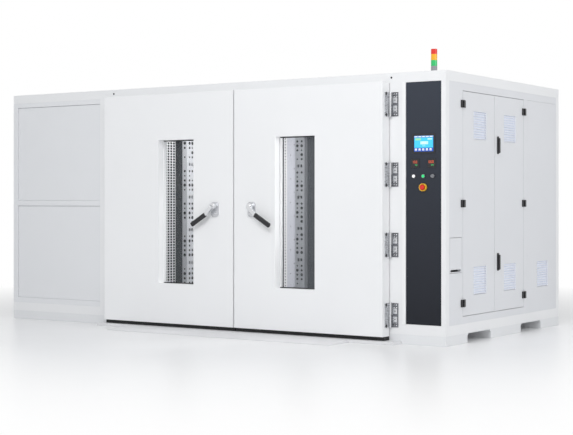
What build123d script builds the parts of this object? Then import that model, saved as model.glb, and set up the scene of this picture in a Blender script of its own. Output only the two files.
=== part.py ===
from build123d import *
import os

os.makedirs("parts", exist_ok=True)

# Walk-in environmental test chamber, in millimetres, with +Z up and the doors facing -Y.
# The origin lies at floor level, at mid width and mid depth of the cabinet.

# Overall cabinet
cabinet_width = 4780
cabinet_depth = 2300
cabinet_height = 2200
left_section = 1296
machine_section = 510

# Skid, rails and insulated walls
skid_height = 80
base_rail_height = 80
top_rail_height = 80
rail_depth = 60
wall_thickness = 120
ceiling_thickness = 60
panel_seam = 2
rear_panel_count = 4
roof_panel_count = 4

# Fork slots through the skid ends
fork_slot_width = 440
fork_slot_height = 76
fork_slot_corner = 20
fork_share = 0.458
fork_offset = -16

# Floor of the test space, and the entry
floor_insulation = 20
floor_sheet = 5
sill_depth = 140
sill_left_reach = 71
sill_right_reach = 110
ramp_width = 2360
ramp_depth = 290
ramp_nose = 3

# Front framing of the left section
left_post_width = 58
left_panel_bottom = 210
left_mid_rail_bottom = 1112
left_mid_rail_height = 50
left_panel_top = 2075
left_panel_recess = 8
left_panel_gap = 1
hinge_strip_width = 157
right_strip_width = 117

# Double doors
door_overlap = 80
door_split_gap = 12
door_bottom = 58
door_head_lap = 64
door_slab = 112
door_seal_gap = 8
door_edge_chamfer = 3
seal_clearance = 0.3
seal_width = 30
seal_inset = 12
sweep_clearance = 2
edge_seal = 5
edge_seal_depth = 60

# Observation windows
window_width = 400
window_height = 1291
window_bottom = 415
window_from_split = 438
glass_setback = 72
glass_thickness = 6
pane_gap = 20
window_seal_width = 8

# Door hinges
hinge_count = 4
hinge_pitch = 571
hinge_first = 231
hinge_leaf_height = 196
hinge_leaf_thickness = 5
hinge_body_leaf = 68
hinge_door_leaf = 70
hinge_axis_gap = 14
hinge_knuckle_radius = 11
hinge_stack_half = 102
hinge_pin_radius = 5
hinge_pin_reach = 84
hinge_running_gap = 0.06
hinge_side_gap = 0.5
hinge_clear = 2
hinge_pad_height = 3
hinge_pad = (38, 44)
hinge_pad_spacing = 66

# Lever handles
lever_from_split = 197
lever_height = 1112
rosette_size = (76, 128)
rosette_drop = 26
rosette_thickness = 12
rosette_cut = 0.2
hub_radius = 29
hub_length = 40
hub_gap = 1
spindle_width = 14
spindle_gap = 0.1
lever_axis_out = 55
lever_neck = (70, -73)
lever_tip = (223, -166)
neck_section = (26, 18)
grip_section = (39, 26)
grip_end_chamfer = 8
release_radius = 34
release_thickness = 16

# Control column on the front
bright_strip_width = 34
bright_strip_proud = 6
corner_post_width = 40
column_frame_depth = 60
fascia_thickness = 8
fascia_recess = 2
fascia_gap = 0.5
fascia_bottom = 163
fascia_top = 2117
display_size = (206, 156)
display_screen = (182, 133)
display_height = 1619
display_offset = 2
display_proud = 4
display_body_depth = 40
controller_size = 72
controller_proud = 5
controller_body = 66
controller_depth = 58
controller_spread = 149
controller_drop = 158
cutout_gap = 0.5

# Push buttons, key switch and stop button
switch_drop = 103
switch_spread = 86
bezel_radius = 16.5
bezel_proud = 8
bezel_pocket_radius = 12.5
switch_neck = 20
barrel_length = 30
cap_radius = 12.1
cap_thickness = 7.5
cap_travel = 3.5
stem_width = 8
running_gap = 0.08
contact_block = (28, 36, 40)
stop_drop = 90
shroud_radius = 31
shroud_height = 22
shroud_wall = 5
stop_head_radius = 20
stop_head_thickness = 18
stop_travel = 5
key_bow = (20, 24)
key_thickness = 2.4
key_shank = 9

# Signal tower on the roof
tower_radius = 25.5
tower_from_right = 200
tower_from_front = 184
tower_base_height = 55
tower_lens_height = 48
tower_cap_height = 43

# Machine side on the right
side_skin = 30
service_bottom = 219
service_top = 2056
service_front = 300
service_rear_post = 90
service_gap = 4
rear_panel_width = 622
rear_panel_from_rear = 83
rear_panel_top = 2057
side_panel_gap = 1
vent_width = 262
vent_height = 250
vent_slats = 11
vent_frame = 10
vent_slat_thickness = 3
vent_low = 500
vent_high = 1783
vent_shares = {-1: 0.527, 1: 0.477}
rear_vent_inset = 194
rear_vent_height = 497
service_hinge_heights = (328, 1138, 1947)
service_hinge_size = (36, 60)
service_hinge_thickness = 10
service_hinge_axis = 12
service_pin_radius = 3
service_latch_heights = (640, 1634)
latch_from_split = 63
latch_plate_size = (30, 150)
latch_plate_thickness = 8
latch_lever_size = (22, 128)
latch_lever_thickness = 14
latch_lever_gap = 1
latch_pivot_rise = 50
flap_from_front = 66
flap_width = 218
flap_bottom = 577
flap_height = 288
flap_gap = 3
flap_pin_radius = 4
flap_pivot_radius = 2
flap_pivot_length = 5
flap_slot = (186, 19)
flap_slot_rise = 10

# Air handling inside the left section
diffuser_thickness = 30
diffuser_centre_half = 201
diffuser_slot_width = 114
diffuser_end_band = 40
diffuser_low = 330
diffuser_high = 1990
plate_lap = 10
plate_thickness = 3
return_low = 110
return_high = 250
return_end_band = 50
bulkhead_from_diffuser = 430
bulkhead_thickness = 10
bulkhead_flange = 40
plenum_floor_height = 290
fan_radius = 220
fan_ring_gap = 8
fan_wall_gap = 332
fan_height = 1250
fan_hub_radius = 60
fan_hub_length = 70
fan_blades = 5
fan_blade_thickness = 4
fan_chord_share = 1.4
fan_pitch = 32
motor_radius = 85
motor_length = 220
motor_gap = 12
motor_arm_width = 70
motor_arm_gap = 20
fan_shaft_radius = 14
coil_from_bulkhead = 430
coil_depth = 200
coil_wall_gap = 130
coil_bottom = 420
coil_height = 1300
coil_fins = 14
coil_fin_thickness = 3
coil_spine = 60
heater_from_bulkhead = 350
heater_rods = 3
heater_rod_radius = 8
heater_wall_gap = 230

# Slotted rack uprights and rear duct cover in the test space
upright_depth = 60
upright_wall = 3
upright_slot = (22, 30)
upright_slot_pitch = 325
upright_bottom = 60
upright_top = 2010
upright_widths = (120, 112)
rear_upright_lead = 0.277
rear_upright_share = 0.32
rear_uprights = 3
duct_cover_width = 146
duct_cover_depth = 30
duct_cover_gap = 17
liner_thickness = 2

# Refrigeration unit and electrical box
deck_gap = 5
compressor_radius = 120
compressor_height = 360
compressor_foot = 30
compressor_plate = 8
compressor_from_front = (470, 860)
receiver_radius = 65
receiver_height = 420
condenser_width = 560
condenser_height = 1150
condenser_depth = 90
condenser_bottom = 330
condenser_from_rear = 410
condenser_fan_height = 930
electrical_depth = 190
electrical_bottom = 300
electrical_top = 1980
electrical_wall = 3

# Places that follow from the sizes above
controller_height = display_height - controller_drop
switch_height = controller_height - switch_drop
stop_height = switch_height - stop_drop
half_inside = cabinet_depth / 2 - wall_thickness
door_span = cabinet_width - left_section - machine_section
rear_upright_from_split = (door_span - 2 * door_overlap) * rear_upright_lead
rear_upright_pitch = (door_span - 2 * door_overlap) * rear_upright_share
left_face = -cabinet_width / 2
right_face = cabinet_width / 2
front_face = -cabinet_depth / 2
rear_face = cabinet_depth / 2
doors_left = left_face + left_section
doors_right = right_face - machine_section
door_split = (doors_left + doors_right) / 2
opening_left = doors_left + door_overlap
opening_right = doors_right - door_overlap
rail_top = skid_height + base_rail_height
roof_bottom = cabinet_height - top_rail_height
opening_top = roof_bottom - ceiling_thickness
door_top = opening_top + door_head_lap
floor_top = floor_insulation + floor_sheet
inner_front = front_face + wall_thickness
inner_rear = rear_face - wall_thickness
plenum_left = left_face + wall_thickness
left_jamb_edge = doors_left - hinge_strip_width
right_jamb_edge = doors_right + right_strip_width
chamber_right = opening_right + wall_thickness
door_back = front_face - door_seal_gap
door_front = door_back - door_slab
side_back = right_face - side_skin
fascia_left = right_jamb_edge + bright_strip_width
fascia_right = right_face - corner_post_width
fascia_centre = (fascia_left + fascia_right) / 2
fascia_front = front_face + fascia_recess
fascia_back = fascia_front + fascia_thickness
fork_pitch = cabinet_depth * fork_share
fork_centres = [fork_offset - fork_pitch / 2, fork_offset + fork_pitch / 2]
hinge_heights = [hinge_first + hinge_pitch * step for step in range(hinge_count)]
hinge_x = doors_right + hinge_axis_gap
hinge_y = front_face - hinge_axis_gap
rear_panel_from_front = cabinet_depth - rear_panel_from_rear - rear_panel_width
service_width = rear_panel_from_front - service_rear_post - service_front
service_split = front_face + service_front + service_width / 2
service_axis_x = right_face + service_hinge_axis
diffuser_plate_edge = half_inside - diffuser_end_band
return_half = half_inside - return_end_band
fan_spread = 2 * (half_inside - fan_wall_gap - fan_radius - fan_ring_gap)
coil_half_width = half_inside - coil_wall_gap
heater_half_width = half_inside - heater_wall_gap
bulkhead_x = opening_left - diffuser_thickness - bulkhead_from_diffuser
machine_left = chamber_right
lever_x = door_split + lever_from_split


def block(x, y, z):
    """A box between three pairs of limits."""
    size = [high - low for low, high in (x, y, z)]
    centre = [(high + low) / 2 for low, high in (x, y, z)]
    return Pos(*centre) * Box(*size)


def rod(start, direction, length, radius):
    """A round bar from a point along a direction."""
    upright = Cylinder(radius, length, align=(Align.CENTER, Align.CENTER, Align.MIN))
    return Plane(origin=start, z_dir=direction) * upright


def plate_yz(x, outline):
    """A flat outline in Y and Z, made a plate between two limits along X."""
    return Pos(x[0], 0, 0) * extrude(Plane.YZ * outline, x[1] - x[0])


def plate_xz(y, outline):
    """A flat outline in X and Z, made a plate between two limits along Y."""
    return Pos(0, y[1], 0) * extrude(Plane.XZ * outline, y[1] - y[0])


def centred_xz(x, z, size, y):
    """A box centred on a place in X and Z, between two limits along Y."""
    return block((x - size[0] / 2, x + size[0] / 2), y, (z - size[1] / 2, z + size[1] / 2))


def area(across, up):
    """A rectangle between two pairs of limits in a flat outline."""
    centre = [(low + high) / 2 for low, high in (across, up)]
    return Pos(*centre) * Rectangle(across[1] - across[0], up[1] - up[0])


def across_split(solid):
    """The matching piece of the left leaf."""
    return mirror(solid, about=Plane.YZ.offset(door_split))


def split_run(low, high, count):
    """Equal stretches between two limits, with a seam between neighbours."""
    step = (high - low) / count
    half = panel_seam / 2
    cuts = [low + step * turn for turn in range(count + 1)]
    return [(start + half * (start > low), end - half * (end < high)) for start, end in zip(cuts, cuts[1:])]


def skid():
    """The two ends of the skid, each with a pair of fork slots and a plain beam that closes them."""
    profile = area((front_face, rear_face), (0, skid_height))
    for centre in fork_centres:
        slot = area((centre - fork_slot_width / 2, centre + fork_slot_width / 2), (0, fork_slot_height))
        upper = slot.vertices().sort_by(Axis.Y)[-2:]
        profile -= chamfer(upper, fork_slot_corner)
    full = (front_face, rear_face)
    left_end = opening_left - diffuser_thickness
    right_end = opening_right + diffuser_thickness
    return [
        plate_yz((left_face, left_end), profile),
        block((left_end, opening_left), full, (0, skid_height)),
        block((opening_right, right_end), full, (0, skid_height)),
        plate_yz((right_end, right_face), profile),
    ]


def frame_rails():
    """The rings of painted rail above the skid and round the roof."""
    low = (skid_height, rail_top)
    high = (roof_bottom, cabinet_height)
    front = (front_face, inner_front)
    rear = (inner_rear, rear_face)
    between = (inner_front, inner_rear)
    inner = (front_face + rail_depth, rear_face - rail_depth)
    return [
        block((left_face, opening_left), front, low),
        block((left_face, plenum_left), between, low),
        block((left_face, right_face), rear, low),
        block((opening_left, opening_right), rear, (0, skid_height)),
        block((opening_right, right_face), front, low),
        block((opening_right, chamber_right), between, low),
        block((right_face - rail_depth, right_face), between, low),
        block((left_face, right_face), (front_face, inner[0]), high),
        block((left_face, right_face), (inner[1], rear_face), high),
        block((left_face, left_face + rail_depth), inner, high),
        block((right_face - rail_depth, right_face), inner, high),
    ]


def floor_slab():
    return [block((opening_left, opening_right), (front_face, inner_rear), (0, floor_insulation))]


def floor_plate():
    return [block((opening_left, opening_right), (front_face, inner_rear), (floor_insulation, floor_top))]


def wall_panels():
    """Insulated wall panels: left end, rear wall and the wall beside the machine space."""
    tall = (rail_top, roof_bottom)
    left_end = [
        block((left_face, plenum_left), run, tall) for run in split_run(inner_front, inner_rear, 2)
    ]
    rear = [
        block(run, (inner_rear, rear_face), tall)
        for run in split_run(left_face, chamber_right, rear_panel_count)
    ]
    beside = block((opening_right, chamber_right), (inner_front, inner_rear), tall)
    machine_rear = block((chamber_right, right_face), (rear_face - rail_depth, rear_face), tall)
    return left_end + rear + [beside, machine_rear]


def roof_panels():
    """Roof panels inside the top rails, and the ceiling slab under them."""
    inside = (front_face + rail_depth, rear_face - rail_depth)
    runs = split_run(left_face + rail_depth, right_face - rail_depth, roof_panel_count)
    roof = [block(run, inside, (roof_bottom, cabinet_height)) for run in runs]
    ceiling = block((plenum_left, opening_right), (inner_front, inner_rear), (opening_top, roof_bottom))
    return roof + [ceiling]


def left_front_frame():
    """Post and three rails round the two front panels of the left section."""
    outline = area((left_face, left_jamb_edge), (rail_top, roof_bottom))
    opening = (left_face + left_post_width, left_jamb_edge)
    outline -= area(opening, (left_panel_bottom, left_mid_rail_bottom))
    outline -= area(opening, (left_mid_rail_bottom + left_mid_rail_height, left_panel_top))
    return [plate_xz((front_face, inner_front), outline)]


def left_front_panels():
    """Two insulated front panels, set back a little in their frame."""
    across = (left_face + left_post_width + left_panel_gap, left_jamb_edge - left_panel_gap)
    deep = (front_face + left_panel_recess, inner_front)
    lower = (left_panel_bottom, left_mid_rail_bottom - left_panel_gap)
    upper = (left_mid_rail_bottom + left_mid_rail_height, left_panel_top - left_panel_gap)
    panels = [block(across, deep, up) for up in (lower, upper)]
    return [chamfer(panel.faces().sort_by(Axis.Y)[0].edges(), door_edge_chamfer) for panel in panels]


def door_frame():
    """Two jambs and the lintel that the doors close against."""
    deep = (front_face, inner_front)
    return [
        block((left_jamb_edge, opening_left), deep, (rail_top, roof_bottom)),
        block((opening_right, right_jamb_edge), deep, (rail_top, roof_bottom)),
        block((opening_left, opening_right), deep, (opening_top, roof_bottom)),
    ]


def upright(width, depth, length, columns):
    """A folded channel with punched slots, its open side on the plane Y = 0 and its face towards -Y."""
    half = width / 2
    channel = block((-half, half), (-depth, 0), (0, length))
    inner = half - upright_wall
    channel -= block((-inner, inner), (-depth + upright_wall, 1), (-1, length + 1))
    rows = int((length - upright_slot_pitch) // upright_slot_pitch) + 1
    start = (length - upright_slot_pitch * (rows - 1)) / 2
    slot = Box(upright_slot[0], 3 * upright_wall, upright_slot[1])
    spread = width / (columns + 1)
    cuts = []
    for row in range(rows):
        height = start + upright_slot_pitch * row
        for column in range(columns):
            cuts.append(Pos(-half + spread * (column + 1), -depth, height) * slot)
    return channel - Compound(children=cuts)


def rack_uprights():
    """Slotted uprights on the air diffuser wall and along the rear wall."""
    length = upright_top - upright_bottom
    side = Rot(0, 0, 90) * upright(upright_widths[0], upright_depth, length, 2)
    side = Pos(opening_left, -diffuser_centre_half + upright_widths[0] / 2, upright_bottom) * side
    rear = upright(upright_widths[1], upright_depth, length, 2)
    first = door_split - rear_upright_from_split
    back = inner_rear - liner_thickness
    along = [first + rear_upright_pitch * turn for turn in range(rear_uprights)]
    return [side] + [Pos(x, back, upright_bottom) * rear for x in along]


def chamber_liner():
    """Thin stainless lining of the right, rear and top of the test space, with its rear duct covers."""
    back = inner_rear - liner_thickness
    under = opening_top - liner_thickness
    across = (opening_left, opening_right)
    right = block((opening_right - liner_thickness, opening_right), (inner_front, back), (floor_top, under))
    rear = block(across, (back, inner_rear), (floor_top, under))
    top = block(across, (inner_front, inner_rear), (under, opening_top))
    pieces = [right, rear, top]
    for turn in range(rear_uprights):
        upright_x = door_split - rear_upright_from_split + rear_upright_pitch * turn
        edge = upright_x - upright_widths[1] / 2 - duct_cover_gap
        pieces.append(block((edge - duct_cover_width, edge), (back - duct_cover_depth, back),
                            (upright_bottom, upright_top)))
    return pieces


def diffuser_wall():
    """Framed wall between the air plenum and the test space, open for air."""
    outline = area((inner_front, inner_rear), (skid_height, opening_top))
    for side in (-1, 1):
        bay = sorted((side * diffuser_centre_half, side * diffuser_plate_edge))
        outline -= area(bay, (diffuser_low, diffuser_high))
    outline -= area((-return_half, return_half), (return_low, return_high))
    return [plate_yz((opening_left - diffuser_thickness, opening_left), outline)]


def diffuser_plates():
    """The two perforated plates screwed on the diffuser wall."""
    inner = diffuser_centre_half + diffuser_slot_width
    up = (diffuser_low - plate_lap, diffuser_high + plate_lap)
    deep = (opening_left, opening_left + plate_thickness)
    plates = []
    for side in (-1, 1):
        across = sorted((side * inner, side * (diffuser_plate_edge + plate_lap)))
        plates.append(block(deep, across, up))
    return plates


def fan_bulkhead():
    """Fan plate and plenum floor that part the suction side from the pressure side."""
    deep = (bulkhead_x - bulkhead_thickness, bulkhead_x)
    outline = area((inner_front, inner_rear), (plenum_floor_height, opening_top))
    for side in (-1, 1):
        outline -= Pos(side * fan_spread / 2, fan_height) * Circle(fan_radius + fan_ring_gap)
    plate = plate_yz(deep, outline)
    along = (bulkhead_x - bulkhead_thickness, opening_left - diffuser_thickness)
    floor_z = (plenum_floor_height - bulkhead_thickness, plenum_floor_height)
    base = block(along, (inner_front, inner_rear), floor_z)
    pieces = [plate + base]
    near = fan_places()[0][0] - fan_hub_length / 2 - motor_gap - motor_length
    reach = fan_radius + fan_ring_gap + motor_arm_gap
    for side in (-1, 1):
        centre = side * fan_spread / 2
        across = (centre - motor_arm_width / 2, centre + motor_arm_width / 2)
        foot = fan_height - reach - bulkhead_thickness
        head = fan_height + reach
        carrier = block((near - bulkhead_thickness, near), across, (foot, head + bulkhead_thickness))
        for low in (foot, head):
            up = (low, low + bulkhead_thickness)
            carrier += block((near, bulkhead_x - bulkhead_thickness), across, up)
        pieces.append(carrier)
    return pieces


def fan(blade_radius, hub_radius_here):
    """An axial impeller on its shaft, turning about +X, with its hub centred on the origin."""
    wheel = rod((-fan_hub_length / 2, 0, 0), (1, 0, 0), fan_hub_length, hub_radius_here)
    chord = fan_hub_length * fan_chord_share
    reach = (hub_radius_here - fan_blade_thickness * 2, blade_radius)
    blade = block((-chord / 2, chord / 2), (-fan_blade_thickness / 2, fan_blade_thickness / 2), reach)
    for turn in range(fan_blades):
        wheel += Rot(360 / fan_blades * turn, 0, 0) * (Rot(0, 0, fan_pitch) * blade)
    return wheel


def fan_places():
    """Centres of the two circulation fans and of the condenser fan."""
    x = bulkhead_x - bulkhead_thickness / 2
    pair = [(x, side * fan_spread / 2, fan_height) for side in (-1, 1)]
    condenser_x = machine_left + deck_gap + condenser_depth + motor_length + motor_gap + fan_hub_length / 2
    return pair + [(condenser_x, rear_face - condenser_from_rear, condenser_fan_height)]


def fan_on_shaft(place):
    """An impeller with the shaft that reaches into its motor."""
    reach = fan_hub_length / 2 + motor_gap + motor_length / 2
    wheel = fan(fan_radius, fan_hub_radius)
    shaft = rod((-reach, 0, 0), (1, 0, 0), reach, fan_shaft_radius)
    return [Pos(*place) * (wheel + shaft)]


def fan_motors():
    """Motors behind the fans, bored for their shafts."""
    pieces = []
    for x, y, z in fan_places():
        face = x - fan_hub_length / 2 - motor_gap
        body = rod((face - motor_length, y, z), (1, 0, 0), motor_length, motor_radius)
        bore_depth = motor_length / 2 + running_gap
        body -= rod((face - bore_depth, y, z), (1, 0, 0), bore_depth, fan_shaft_radius + running_gap)
        pieces.append(body)
    return pieces


def finned_block(depth, half_width, height, fins, spine):
    """A fin pack: thin upright fins along Y joined by a solid core, as its tubes join them."""
    pitch = 2 * half_width / (fins - 1)
    outline = area((depth / 2 - spine / 2, depth / 2 + spine / 2), (-half_width, half_width))
    for turn in range(fins):
        y = -half_width + pitch * turn
        outline += area((0, depth), (y - coil_fin_thickness / 2, y + coil_fin_thickness / 2))
    return extrude(outline, height)


def evaporator_coil():
    """Finned cooling coil on its legs."""
    left = bulkhead_x - coil_from_bulkhead - coil_depth
    pack = finned_block(coil_depth, coil_half_width, coil_height, coil_fins, coil_spine)
    pack = Pos(left, 0, coil_bottom) * pack
    for side in (-1, 1):
        leg_y = sorted((side * coil_half_width, side * (coil_half_width - coil_spine)))
        pack += block((left, left + coil_depth), leg_y, (skid_height, coil_bottom))
    return [pack]


def heater_bank():
    """Straight heating rods between two end brackets that stand on the skid."""
    x = bulkhead_x - heater_from_bulkhead
    pitch = coil_height / heater_rods
    pieces = None
    for row in range(heater_rods):
        z = coil_bottom + pitch * (row + 0.5)
        bar = rod((x, -heater_half_width, z), (0, 1, 0), 2 * heater_half_width, heater_rod_radius)
        pieces = bar if pieces is None else pieces + bar
    top = coil_bottom + coil_height
    for side in (-1, 1):
        edge = sorted((side * heater_half_width, side * (heater_half_width + bulkhead_thickness)))
        pieces += block((x - coil_spine / 2, x + coil_spine / 2), edge, (skid_height, top))
    return [pieces]


def entry_ramp():
    """Sill plate in front of the door opening and the ramp up to it."""
    sill_back = front_face
    sill_front = front_face - sill_depth
    sill = block((doors_left - sill_left_reach, doors_right + sill_right_reach), (sill_front, sill_back),
                 (0, floor_top))
    toe = sill_front - ramp_depth
    slope = Polyline((toe, 0), (sill_front, 0), (sill_front, floor_top), (toe, ramp_nose), close=True)
    ramp = plate_yz((door_split - ramp_width / 2, door_split + ramp_width / 2), make_face(slope))
    return [sill, ramp]


def door_slab_right():
    """The insulated slab of the right door with its window opening."""
    across = (door_split + door_split_gap / 2, doors_right)
    slab = block(across, (door_front, door_back), (door_bottom, door_top))
    slab = chamfer(slab.faces().sort_by(Axis.Y)[0].edges(), door_edge_chamfer)
    slab -= window_block(0, (door_front - 1, door_back + 1))
    start = (lever_x, door_front - 1, lever_height)
    return slab - rod(start, (0, 1, 0), door_slab + 2, spindle_width * 2 ** 0.5 / 2 + spindle_gap)


def window_block(inset, deep):
    """A slab of the window's outline between two depths."""
    left = door_split + window_from_split
    across = (left + inset, left + window_width - inset)
    up = (window_bottom + inset, window_bottom + window_height - inset)
    return block(across, deep, up)


def window_glass_right():
    """Two panes held by their seals."""
    first = door_front + glass_setback
    second = first + glass_thickness + pane_gap
    return [window_block(window_seal_width, (at, at + glass_thickness)) for at in (first, second)]


def door_seals_right():
    """Glazing seal, seal round the back of the door, seal on its free edge, and floor sweep."""
    first = door_front + glass_setback
    last = first + 2 * glass_thickness + pane_gap
    glazing = window_block(0, (first, last)) - window_block(window_seal_width, (first - 1, last + 1))
    left = door_split + door_split_gap / 2
    rim_x = (left + seal_inset, doors_right - seal_inset)
    rim_z = (door_bottom, door_top - seal_inset)
    thick = (door_back, front_face - seal_clearance)
    rim = block(rim_x, thick, rim_z)
    rim -= block((rim_x[0] + seal_width, rim_x[1] - seal_width), (thick[0] - 1, thick[1] + 1),
                 (rim_z[0] - 1, rim_z[1] - seal_width))
    edge = block((left - edge_seal, left), (door_back - edge_seal_depth, door_back), (door_bottom, door_top))
    sweep = block((left, doors_right), (door_front + edge_seal_depth / 2, door_back),
                  (floor_top + sweep_clearance, door_bottom))
    return [glazing, rim, edge, sweep]


def hinge_pads(x, z):
    """Two raised pads on a frame leaf."""
    back = front_face - hinge_leaf_thickness
    places = [z + side * hinge_pad_spacing / 2 for side in (-1, 1)]
    return [centred_xz(x, place, hinge_pad, (back - hinge_pad_height, back)) for place in places]


def frame_leaf(z):
    """Frame leaf of one lift-off hinge, with its knuckle below and the pin standing on it."""
    gap = hinge_knuckle_radius + hinge_clear
    deep = (front_face - hinge_leaf_thickness, front_face)
    up = (z - hinge_leaf_height / 2, z + hinge_leaf_height / 2)
    leaf = block((hinge_x + gap, hinge_x + hinge_body_leaf), deep, up)
    leaf += block((hinge_x - hinge_leaf_thickness, hinge_x + gap), deep, (up[0], z))
    for pad in hinge_pads(hinge_x + (gap + hinge_body_leaf) / 2, z):
        leaf += pad
    leaf += rod((hinge_x, hinge_y, z - hinge_stack_half), (0, 0, 1), hinge_stack_half, hinge_knuckle_radius)
    return leaf + rod((hinge_x, hinge_y, z), (0, 0, 1), hinge_pin_reach, hinge_pin_radius)


def door_leaf(z):
    """Door leaf of one lift-off hinge, with its bored knuckle above."""
    gap = hinge_knuckle_radius + hinge_clear
    foot = z + hinge_side_gap
    top = z + hinge_leaf_height / 2
    deep = (doors_right, doors_right + hinge_leaf_thickness)
    leaf = block(deep, (hinge_y - hinge_door_leaf, hinge_y - gap), (z - hinge_leaf_height / 2, top))
    leaf += block(deep, (hinge_y - gap, hinge_y), (foot, top))
    height = hinge_stack_half - hinge_side_gap
    leaf += rod((hinge_x, hinge_y, foot), (0, 0, 1), height, hinge_knuckle_radius)
    bore = hinge_pin_reach + hinge_side_gap
    return leaf - rod((hinge_x, hinge_y, z), (0, 0, 1), bore, hinge_pin_radius + hinge_running_gap)


def rosette_right():
    """Cast plate under the lever, with its raised collar."""
    centre_z = lever_height - rosette_drop
    plate = block((lever_x - rosette_size[0] / 2, lever_x + rosette_size[0] / 2),
                  (door_front - rosette_thickness, door_front),
                  (centre_z - rosette_size[1] / 2, centre_z + rosette_size[1] / 2))
    plate = chamfer(plate.edges().filter_by(Axis.Y), rosette_size[0] * rosette_cut)
    bore = rod((lever_x, door_front - rosette_thickness - 1, lever_height), (0, 1, 0), rosette_thickness + 2,
               spindle_width * 2 ** 0.5 / 2 + spindle_gap)
    return plate - bore


def lever_right():
    """Hub, neck and through spindle of the right lever, with the release knob inside."""
    hub_back = door_front - rosette_thickness - hub_gap
    hub = rod((lever_x, hub_back, lever_height), (0, -1, 0), hub_length, hub_radius)
    hub = chamfer(hub.faces().sort_by(Axis.Y)[0].edges(), hub_radius / 5)
    knob_back = door_back + hub_gap
    spindle = centred_xz(lever_x, lever_height, (spindle_width, spindle_width), (hub_back, knob_back))
    knob = rod((lever_x, knob_back, lever_height), (0, 1, 0), release_thickness, release_radius)
    grip_y = door_front - lever_axis_out
    start = Vector(lever_x, grip_y, lever_height)
    joint = Vector(lever_x + lever_neck[0], grip_y, lever_height + lever_neck[1])
    along = grip_direction()
    first = Plane(origin=start, x_dir=(0, 1, 0), z_dir=(lever_neck[0], 0, lever_neck[1]))
    last = Plane(origin=joint, x_dir=(0, 1, 0), z_dir=along)
    wide = first * Rectangle(neck_section[1] * 1.6, neck_section[0] * 1.5)
    slim = last * Rectangle(neck_section[1], neck_section[0])
    neck = loft([wide, slim], ruled=True)
    return hub + spindle + knob + neck


def grip_direction():
    """Unit direction from the neck to the tip of the right grip."""
    return Vector(lever_tip[0] - lever_neck[0], 0, lever_tip[1] - lever_neck[1]).normalized()


def grip_right():
    """Moulded grip on the lever, with a chamfered free end."""
    grip_y = door_front - lever_axis_out
    joint = Vector(lever_x + lever_neck[0], grip_y, lever_height + lever_neck[1])
    length = Vector(lever_tip[0] - lever_neck[0], 0, lever_tip[1] - lever_neck[1]).length
    base = Plane(origin=joint, x_dir=(0, 1, 0), z_dir=grip_direction())
    body = base * extrude(Rectangle(grip_section[1], grip_section[0]), length)
    body = chamfer(body.edges().filter_by(lambda edge: abs(edge.length - length) < 1), grip_section[1] / 4)
    far = body.faces().sort_by(Axis(joint, grip_direction()))[-1]
    return chamfer(far.edges(), grip_end_chamfer)


def control_column():
    """Post, bright raised strip and head round the control fascia."""
    outline = area((right_jamb_edge, right_face), (rail_top, roof_bottom))
    outline -= area((fascia_left, fascia_right), (fascia_bottom, fascia_top))
    frame = plate_xz((front_face, front_face + column_frame_depth), outline)
    frame += block((right_jamb_edge, fascia_left), (front_face - bright_strip_proud, front_face),
                   (rail_top, roof_bottom))
    return [frame]


def switch_places():
    """Centres across the fascia of the two push buttons and the key switch."""
    return [fascia_centre + switch_spread * step for step in (-1, 0, 1)]


def control_fascia():
    """Dark front sheet of the control column with its cut-outs."""
    outline = area((fascia_left + fascia_gap, fascia_right - fascia_gap),
                   (fascia_bottom + fascia_gap, fascia_top - fascia_gap))
    x = fascia_centre + display_offset
    half = [size / 2 - display_proud + cutout_gap for size in display_size]
    outline -= area((x - half[0], x + half[0]), (display_height - half[1], display_height + half[1]))
    for side in (-1, 1):
        place = fascia_centre + side * controller_spread / 2
        reach = controller_body / 2 + cutout_gap
        up = (controller_height - reach, controller_height + reach)
        outline -= area((place - reach, place + reach), up)
    hole = switch_neck + 2 * cutout_gap
    for place in switch_places():
        outline -= Pos(place, switch_height) * Rectangle(hole, hole)
    outline -= Pos(fascia_centre, stop_height) * Rectangle(hole, hole)
    return [plate_xz((fascia_front, fascia_back), outline)]


def panel_instruments():
    """Touch display and the two limit controllers, flanges on the fascia and bodies behind it."""
    x = fascia_centre + display_offset
    proud = fascia_front - display_proud
    flange = centred_xz(x, display_height, display_size, (proud, fascia_front))
    flange -= centred_xz(x, display_height, display_screen, (proud, proud + display_proud / 2))
    body_size = [size - 2 * display_proud for size in display_size]
    body = centred_xz(x, display_height, body_size, (fascia_front, fascia_front + display_body_depth))
    display = flange + body
    pieces = [display]
    for side in (-1, 1):
        place = fascia_centre + side * controller_spread / 2
        square = (controller_size, controller_size)
        front = centred_xz(place, controller_height, square, (fascia_front - controller_proud, fascia_front))
        front = chamfer(front.faces().sort_by(Axis.Y)[0].edges(), controller_proud / 3)
        square = (controller_body, controller_body)
        body = centred_xz(place, controller_height, square, (fascia_front, fascia_front + controller_depth))
        pieces.append(front + body)
    return pieces


def stem_way(x, z, start, end):
    """The square way that a push stem runs in."""
    width = stem_width + 2 * running_gap
    return centred_xz(x, z, (width, width), (start, end))


def switch_body(x, z):
    """Bezel, barrel and contact block of one 22 mm switch."""
    bezel = rod((x, fascia_front, z), (0, -1, 0), bezel_proud, bezel_radius)
    bezel -= rod((x, fascia_front - 1, z), (0, -1, 0), bezel_proud, bezel_pocket_radius)
    barrel = centred_xz(x, z, (switch_neck, switch_neck), (fascia_front - 1, fascia_front + barrel_length))
    back = fascia_front + barrel_length
    contacts = centred_xz(x, z, contact_block, (back, back + contact_block[2]))
    body = bezel + barrel + contacts
    return body - stem_way(x, z, fascia_front - bezel_proud, back + cap_travel)


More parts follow.
